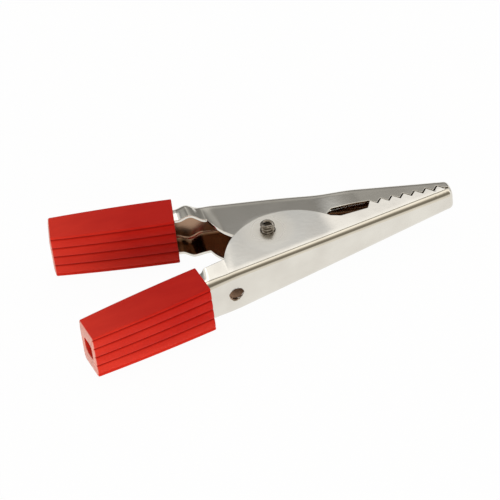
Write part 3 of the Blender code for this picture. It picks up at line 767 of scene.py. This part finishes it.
def make_sleeve(name, jaw, s, g):
    """One grip, with its rings laid along the tail: turned by the shank's angle about the jaw's mouth."""
    rings = sleeve_rings(g, BACK_ROOM[jaw], MOUTH_REACH[jaw])
    heading = math.pi - jaw * SHANK_ANGLE[jaw]
    run, out = rings[..., 0], -jaw * rings[..., 1]
    x = MOUTH + run * math.cos(heading) - out * math.sin(heading)
    y = jaw * spine_height(s, jaw, MOUTH) + s.pivot_drop + run * math.sin(heading) + out * math.cos(heading)
    obj = solid(name, np.stack([x, y, rings[..., 2]], axis=-1), close_rows=True)
    # 1 on the trimmed rear end and 0 elsewhere, and the share of the way from the mouth to it, by which the
    # material paints painted light
    cut = ease(run, g.length - 0.6 * REAR_ROUND, g.length - 0.1 * REAR_ROUND)
    mark(obj, "cut_end", cut)
    mark(obj, "rearward", run / g.length)
    # How deep a point of a broad face lies in a groove, apart from the groove along the lower edge; the
    # material darkens it as painted shade
    share, across, _ = groove_share(g, SHANK_HALF + SIDE_ROOM + g.wall - g.narrowing / 4)
    share = share * (across < g.ribs - 0.25)
    groove = np.zeros(run.shape)
    groove[:, : FACE_STEPS + 1] = share
    second = FACE_STEPS + CORNER_STEPS + NARROW_STEPS + CORNER_STEPS
    groove[:, second : second + FACE_STEPS + 1] = share[::-1]
    mark(obj, "groove", groove)
    return obj


# Materials

# Distances from the coil's axis up to which the ears are fully rubbed, and past which they aren't
RUBBED_FULL, RUBBED_REACH = mm(1.2, 4)
# Heights up to which the grips are painted fully paler, as painted light from the floor, and past which they
# aren't
PAINTED_LOW_LIGHT_FULL, PAINTED_LOW_LIGHT_REACH = mm(1, 3.5)


def feed(tree, node, inputs):
    """Puts a value on each input socket, or links an output to it."""
    for socket, value in dict(inputs).items():
        if isinstance(value, bpy.types.NodeSocket):
            tree.links.new(value, node.inputs[socket])
        else:
            node.inputs[socket].default_value = value


def add_node(tree, kind, inputs=(), **settings):
    """One node with its settings and inputs."""
    node = tree.nodes.new(kind)
    for name, value in settings.items():
        setattr(node, name, value)
    feed(tree, node, inputs)
    return node


def maths(tree, operation, *values, **settings):
    """A number worked out from others by one operation."""
    inputs = enumerate(values)
    return add_node(tree, "ShaderNodeMath", inputs, operation=operation, **settings).outputs[0]


def marked(tree, name):
    """The number that a mesh keeps for each point under the name."""
    return add_node(tree, "ShaderNodeAttribute", attribute_name=name).outputs["Fac"]


def object_place(tree):
    """Object coordinates, in metres."""
    return add_node(tree, "ShaderNodeTexCoord").outputs["Object"]


def new_material(name, bare=False):
    """A material and its node tree, which is empty or holds the Principled shader."""
    material = bpy.data.materials.new(name)
    material.use_nodes = True
    if bare:
        material.node_tree.nodes.clear()
    return material, material.node_tree


def noise(tree, place, size, detail=2.0, stretch=(1, 1, 1)):
    """Noise with patches about size wide, in metres, and stretched along the axes."""
    scale = tuple(1 / (size * share) for share in stretch)
    scaled = add_node(tree, "ShaderNodeMapping", {"Vector": place, "Scale": scale})
    texture = add_node(
        tree, "ShaderNodeTexNoise", {"Vector": scaled.outputs[0], "Scale": 1.0, "Detail": detail}
    )
    return texture.outputs["Fac"]


def spread(tree, value, low, high, start=0.3, end=0.7):
    """A value's middle range carried to the range from low to high."""
    inputs = {"Value": value, "From Min": start, "From Max": end, "To Min": low, "To Max": high}
    return add_node(tree, "ShaderNodeMapRange", inputs).outputs["Result"]


def mix(tree, share, first, second):
    """A colour between two others."""
    node = add_node(tree, "ShaderNodeMix", {0: share, 6: first, 7: second}, data_type="RGBA")
    return node.outputs[2]


def bump(tree, height, distance, below=None):
    """The normal of a relief, which may lie over another one."""
    inputs = {"Height": height, "Distance": distance}
    if below:
        inputs["Normal"] = below
    return add_node(tree, "ShaderNodeBump", inputs).outputs[0]


def plated_steel(finish):
    """Bright nickel plating on rolled sheet: a mirror a little dulled by its drawn grain, and painted dark
    brown inside the channel as painted shade and painted reflection of the red grips."""
    material, tree = new_material("nickel_plated_steel")
    place = object_place(tree)
    # Thin plating and finger marks, patches of 4 mm
    smudge = noise(tree, place, 4 * MM, 3)
    # Rolling grain along the sheet, lines of 0.1 mm, drawn twice as coarse so that they show
    grain = noise(tree, place, 0.2 * MM, 2, (20, 1, 1))
    # Orange peel of the plating, 0.6 mm
    peel = noise(tree, place, 0.6 * MM, 1)
    # Where the channel's inside is painted dark brown as painted shade and painted reflection
    inside = marked(tree, "inside")
    outside = mix(tree, spread(tree, smudge, 0, 1), finish.nickel, finish.nickel_shade)
    # Rubbed to satin round the coil
    flat = add_node(tree, "ShaderNodeVectorMath", {0: place, 1: (1, 1, 0)}, operation="MULTIPLY").outputs[0]
    away = add_node(
        tree, "ShaderNodeVectorMath", {0: flat, 1: (PIVOT[0], PIVOT[1], 0)}, operation="DISTANCE"
    ).outputs["Value"]
    film = maths(tree, "MULTIPLY_ADD", inside, 0.12, spread(tree, away, 0.25, 0, RUBBED_FULL, RUBBED_REACH))
    feed(tree, tree.nodes["Principled BSDF"], {
        "Metallic": 1.0,
        "Base Color": mix(tree, inside, outside, finish.nickel_inside_painted_shade),
        "Roughness": maths(tree, "ADD", film, spread(tree, smudge, 0.09, 0.13)),
        "Normal": bump(tree, peel, 0.002 * MM, bump(tree, grain, 0.0005 * MM)),
    })
    return material


def spring_wire(finish):
    """Plated music wire: bright, and darker where the plating is thin."""
    material, tree = new_material("spring_steel")
    # Patches of 0.5 mm
    thin = noise(tree, object_place(tree), 0.5 * MM, 2)
    feed(tree, tree.nodes["Principled BSDF"], {
        "Metallic": 1.0,
        "Base Color": mix(tree, spread(tree, thin, 0, 0.6), finish.wire, finish.wire_shade),
        "Roughness": spread(tree, thin, 0.12, 0.2),
    })
    return material


def red_vinyl(finish):
    """Moulded soft vinyl: a satin skin with a random mottle, painted darker in the grooves as painted shade,
    painted paler towards the rear and low down as painted light, and palest on its cut rear end, partly a
    paler cut and partly painted light and sheen."""
    material, tree = new_material("red_plastic")
    place = object_place(tree)
    # Patches of 2 mm along the grip
    cloud = noise(tree, place, 2 * MM, 3, (3, 1, 1))
    # Moulded grain of 0.15 mm
    grain = noise(tree, place, 0.15 * MM, 2)
    # Paler low down, as painted light from the floor
    low = add_node(tree, "ShaderNodeSeparateXYZ", {"Vector": place}).outputs["Z"]
    painted_low_light = spread(tree, low, 0.9, 0, PAINTED_LOW_LIGHT_FULL, PAINTED_LOW_LIGHT_REACH)
    mottle_and_painted_low_light = maths(tree, "ADD", spread(tree, cloud, -0.15, 0.15), painted_low_light)
    # Painted light and shade: paler towards the rear, as if lit from the left, and darker at the mouth
    painted_rear_light = spread(tree, marked(tree, "rearward"), 0, 0.8, 0.3, 1)
    pale = maths(tree, "ADD", mottle_and_painted_low_light, painted_rear_light, use_clamp=True)
    body = mix(tree, pale, finish.vinyl, finish.vinyl_mottle_and_painted_light)
    # Painted shade in the grooves
    body = mix(tree, spread(tree, marked(tree, "groove"), 0, 0.8, 0.3, 0.9), body, finish.vinyl_groove_painted_shade)
    # Pale pink on the cut rear end, partly painted light and sheen
    feed(tree, tree.nodes["Principled BSDF"], {
        "Base Color": mix(tree, marked(tree, "cut_end"), body, finish.vinyl_cut_painted_light),
        "Roughness": spread(tree, cloud, 0.42, 0.5),
        "IOR": 1.5,
        "Specular IOR Level": 0.12,
        "Normal": bump(tree, grain, 0.004 * MM),
    })
    return material


# Studio

# Brightness round the tent, as a share of its peak, by degrees from the far horizon over the top to the
# camera's side
TENT_STOPS = (
    (0, "#6F6E6C"), (12, "#747371"), (24, "#807F7D"), (32, "#9A9997"), (37, "#A09F9D"), (39, "#8E8D8B"),
    (41, "#737270"), (42.5, "#888786"), (44, "#B5B7BA"), (46.5, "#BCBEC2"), (47.5, "#CDCED0"),
    (49, "#F4F3F3"), (56, "#FFFFFF"), (61.5, "#FBF9F5"), (65, "#807C74"), (69.5, "#807C74"),
    (74, "#E2DED5"), (80, "#FBF6EC"), (90, "#F2ECE1"), (98, "#CFC9BE"), (106, "#9F998E"),
    (114, "#7A746A"), (122, "#706A5F"), (140, "#706A5F"), (150, "#C4C0B8"), (180, "#D1CDC5"),
)
# Brightness along the tent, from one radius left of the camera's line of sight to one radius right of it
TENT_FADE = ((0, "#D0D0D0"), (0.33, "#B4B4B4"), (0.43, "#FFFFFF"), (0.522, "#CACACA"), (1, "#DCDCDC"))
# Emission where both of them are white
TENT_PEAK = 2.125
# Share of the floor that glows, and half its side in metres
FLOOR_GLOW, FLOOR_REACH = 0.97, 4.0
# Watts of the fill lamp, its angle over the horizon, and its width and distance in radii of the tent
FILL, FILL_ELEVATION = 0.75, math.radians(14)
FILL_SIZE, FILL_AWAY = 0.5, 0.75
# From the pivot to what the camera aims at
AIM = Vector((-2.68, 0.37, 0)) * MM
# Half the length of the tent in radii, and the points over it
TENT_REACH, TENT_POINTS = 3, 65


def floor_material():
    """A white sweep that the camera and the metal see as white, and that keeps a faint shadow."""
    material, tree = new_material("white_sweep", bare=True)
    path = add_node(tree, "ShaderNodeLightPath").outputs
    seen = maths(tree, "MAXIMUM", path["Is Camera Ray"], path["Is Glossy Ray"])
    seen = maths(tree, "MAXIMUM", seen, path["Is Transmission Ray"])
    share = maths(tree, "MULTIPLY", seen, FLOOR_GLOW)
    matt = add_node(tree, "ShaderNodeBsdfDiffuse", {"Color": srgb("#FFFFFF")})
    glow = add_node(tree, "ShaderNodeEmission", {"Color": srgb("#FFFFFF"), "Strength": 1.0})
    both = add_node(tree, "ShaderNodeMixShader", {0: share, 1: matt.outputs[0], 2: glow.outputs[0]})
    add_node(tree, "ShaderNodeOutputMaterial", {"Surface": both.outputs[0]})
    return material


def ramp(tree, value, stops):
    """A colour ramp of (position, hex code) stops."""
    node = add_node(tree, "ShaderNodeValToRGB", {"Fac": value})
    marks = node.color_ramp.elements
    marks[1].position = stops[-1][0]
    marks[0].color, marks[1].color = srgb(stops[0][1]), srgb(stops[-1][1])
    for position, code in stops[1:-1]:
        marks.new(position).color = srgb(code)
    return node.outputs["Color"]


def tent_material(azimuth, radius):
    """Emission by the angle over the tent, atan2(height, depth), and by the place along it."""
    material, tree = new_material("light_tent", bare=True)
    inputs = {"Vector": object_place(tree), "Angle": azimuth}
    turned = add_node(tree, "ShaderNodeVectorRotate", inputs, rotation_type="Z_AXIS").outputs[0]
    parts = add_node(tree, "ShaderNodeSeparateXYZ", {"Vector": turned}).outputs
    share = maths(tree, "DIVIDE", maths(tree, "ARCTAN2", parts["Z"], parts["Y"]), math.pi)
    level = ramp(tree, share, [(degrees / 180, code) for degrees, code in TENT_STOPS])
    fade = ramp(tree, spread(tree, parts["X"], 0, 1, -radius, radius), TENT_FADE)
    power = maths(tree, "MULTIPLY", fade, TENT_PEAK)
    glow = add_node(tree, "ShaderNodeEmission", {"Color": level, "Strength": power})
    add_node(tree, "ShaderNodeOutputMaterial", {"Surface": glow.outputs[0]})
    return material


def make_world():
    """A plain white world, seen past the tent's open ends and behind the floor."""
    world = bpy.data.worlds.new("studio")
    world.use_nodes = True
    world.node_tree.nodes["Background"].inputs["Color"].default_value = srgb("#FFFFFF")
    bpy.context.scene.world = world


def towards(azimuth, elevation):
    """Unit vector from the clip to the camera's side of the studio."""
    flat = math.cos(elevation)
    return Vector((-math.sin(azimuth) * flat, -math.cos(azimuth) * flat, math.sin(elevation)))


def make_camera(c):
    """Aimed at what lay in the middle of the photograph, level, then rolled."""
    target = Vector(PIVOT) + AIM
    back = towards(c.azimuth, c.elevation)
    level = Vector((math.cos(c.azimuth), -math.sin(c.azimuth), 0))
    right = level * math.cos(c.roll) - back.cross(level) * math.sin(c.roll)
    up = back.cross(right)
    camera = add_object("camera", bpy.data.cameras.new("camera"))
    turned = Matrix((right, up, back)).transposed().to_4x4()
    camera.matrix_world = Matrix.Translation(target + back * c.distance) @ turned
    camera.data.lens = c.focal
    camera.data.sensor_width = 36
    camera.data.clip_start = 0.01
    bpy.context.scene.camera = camera


def make_tent(c):
    """Half a tube over the clip, x = t and (y, z) = R (cos a, sin a), turned to face the camera."""
    across = np.linspace(0, math.pi, TENT_POINTS)
    run = np.linspace(-TENT_REACH, TENT_REACH, 3) * c.tent
    a, x = np.meshgrid(across, run)
    y, z = c.tent * np.cos(a), c.tent * np.sin(a)
    sine, cosine = math.sin(c.azimuth), math.cos(c.azimuth)
    grid = np.stack([x * cosine + y * sine, y * cosine - x * sine, z], axis=-1)
    columns = len(across)
    quads = [q for q in quad_grid(len(run), columns).tolist() if q[1] > q[0]]
    tent = add_mesh("light_tent", grid.reshape(-1, 3).tolist(), quads)
    tent.visible_camera = False
    return tent


def make_floor():
    """A level square under the clip."""
    corners = [(x * FLOOR_REACH, y * FLOOR_REACH, 0) for x, y in ((-1, -1), (1, -1), (1, 1), (-1, 1))]
    return add_mesh("floor", corners, [(0, 1, 2, 3)])


def make_fill(c):
    """A soft lamp low on the camera's side, for the matt surfaces: the metal shows only the tent."""
    lamp = add_object("fill", bpy.data.lights.new("fill", "AREA"))
    lamp.data.energy = FILL
    lamp.data.size = FILL_SIZE * c.tent
    back = towards(c.azimuth, FILL_ELEVATION)
    lamp.location = Vector(PIVOT) + back * FILL_AWAY * c.tent
    lamp.rotation_euler = back.to_track_quat("Z", "Y").to_euler()
    lamp.visible_glossy = False
    return lamp


# Operators and panel


class CLIP_OT_jaws(bpy.types.Operator):
    """Builds both jaws of nickel-plated sheet"""

    bl_idname = "clip.jaws"
    bl_label = "Build Jaws"

    def execute(self, context):
        sizes, spring = context.scene.clip_jaws, context.scene.clip_spring
        steel = plated_steel(context.scene.clip_finishes)
        for name, node, jaw, body in (
            ("lower_channel", "lower_jaw", LOWER, "lower"), ("upper_channel", "upper_jaw", UPPER, "upper")
        ):
            piece = make_jaw(name, jaw, sizes, spring)
            piece.data.materials.clear()
            piece.data.materials.append(steel)
            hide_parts(node)
            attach(piece, body)
        return {"FINISHED"}


class CLIP_OT_spring(bpy.types.Operator):
    """Builds the torsion spring"""

    bl_idname = "clip.spring"
    bl_label = "Build Spring"

    def execute(self, context):
        piece = make_spring(context.scene.clip_jaws, context.scene.clip_spring)
        piece.data.materials.append(spring_wire(context.scene.clip_finishes))
        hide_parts("torsion_spring")
        low, high = PIVOT.copy(), PIVOT.copy()
        low[2] -= TURN_OVER
        high[2] += TURN_OVER
        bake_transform(piece)
        return {"FINISHED"}


class CLIP_OT_sleeves(bpy.types.Operator):
    """Builds the two ribbed grips"""

    bl_idname = "clip.sleeves"
    bl_label = "Build Sleeves"

    def execute(self, context):
        vinyl = red_vinyl(context.scene.clip_finishes)
        for name, node, jaw, body in (
            ("lower_grip", "lower_sleeve", LOWER, "lower"), ("upper_grip", "upper_sleeve", UPPER, "upper")
        ):
            piece = make_sleeve(name, jaw, context.scene.clip_jaws, context.scene.clip_sleeves)
            piece.data.materials.append(vinyl)
            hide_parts(node)
            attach(piece, body)
        return {"FINISHED"}


class CLIP_OT_studio(bpy.types.Operator):
    """Sets up the white floor, the light tent, the world and the camera"""

    bl_idname = "clip.studio"
    bl_label = "Build Studio"

    def execute(self, context):
        sizes = context.scene.clip_studio
        make_world()
        make_camera(sizes)
        floor, tent, fill = make_floor(), make_tent(sizes), make_fill(sizes)
        floor.data.materials.append(floor_material())
        tent.data.materials.append(tent_material(sizes.azimuth, sizes.tent))
        context.scene.view_settings.view_transform = "Standard"
        return {"FINISHED"}


class CLIP_PT_panel(bpy.types.Panel):
    """Lists the operators"""

    bl_idname = "CLIP_PT_panel"
    bl_label = "Test Clip"
    bl_space_type = "VIEW_3D"
    bl_region_type = "UI"
    bl_category = "Test Clip"

    def draw(self, context):
        for operator in (CLIP_OT_jaws, CLIP_OT_spring, CLIP_OT_sleeves, CLIP_OT_studio):
            self.layout.operator(operator.bl_idname)


GROUPS = {
    "clip_jaws": JawSizes, "clip_spring": SpringSizes, "clip_sleeves": SleeveSizes,
    "clip_finishes": Finishes, "clip_studio": StudioSizes,
}
CLASSES = (*GROUPS.values(), CLIP_OT_jaws, CLIP_OT_spring, CLIP_OT_sleeves, CLIP_OT_studio, CLIP_PT_panel)


def register():
    for cls in CLASSES:
        bpy.utils.register_class(cls)
    for name, group in GROUPS.items():
        setattr(bpy.types.Scene, name, PointerProperty(type=group))


def unregister():
    for name in GROUPS:
        delattr(bpy.types.Scene, name)
    for cls in reversed(CLASSES):
        bpy.utils.unregister_class(cls)


def main():
    register()
    bpy.ops.clip.jaws()
    bpy.ops.clip.spring()
    bpy.ops.clip.sleeves()
    bpy.ops.clip.studio()


if __name__ == "__main__":
    main()
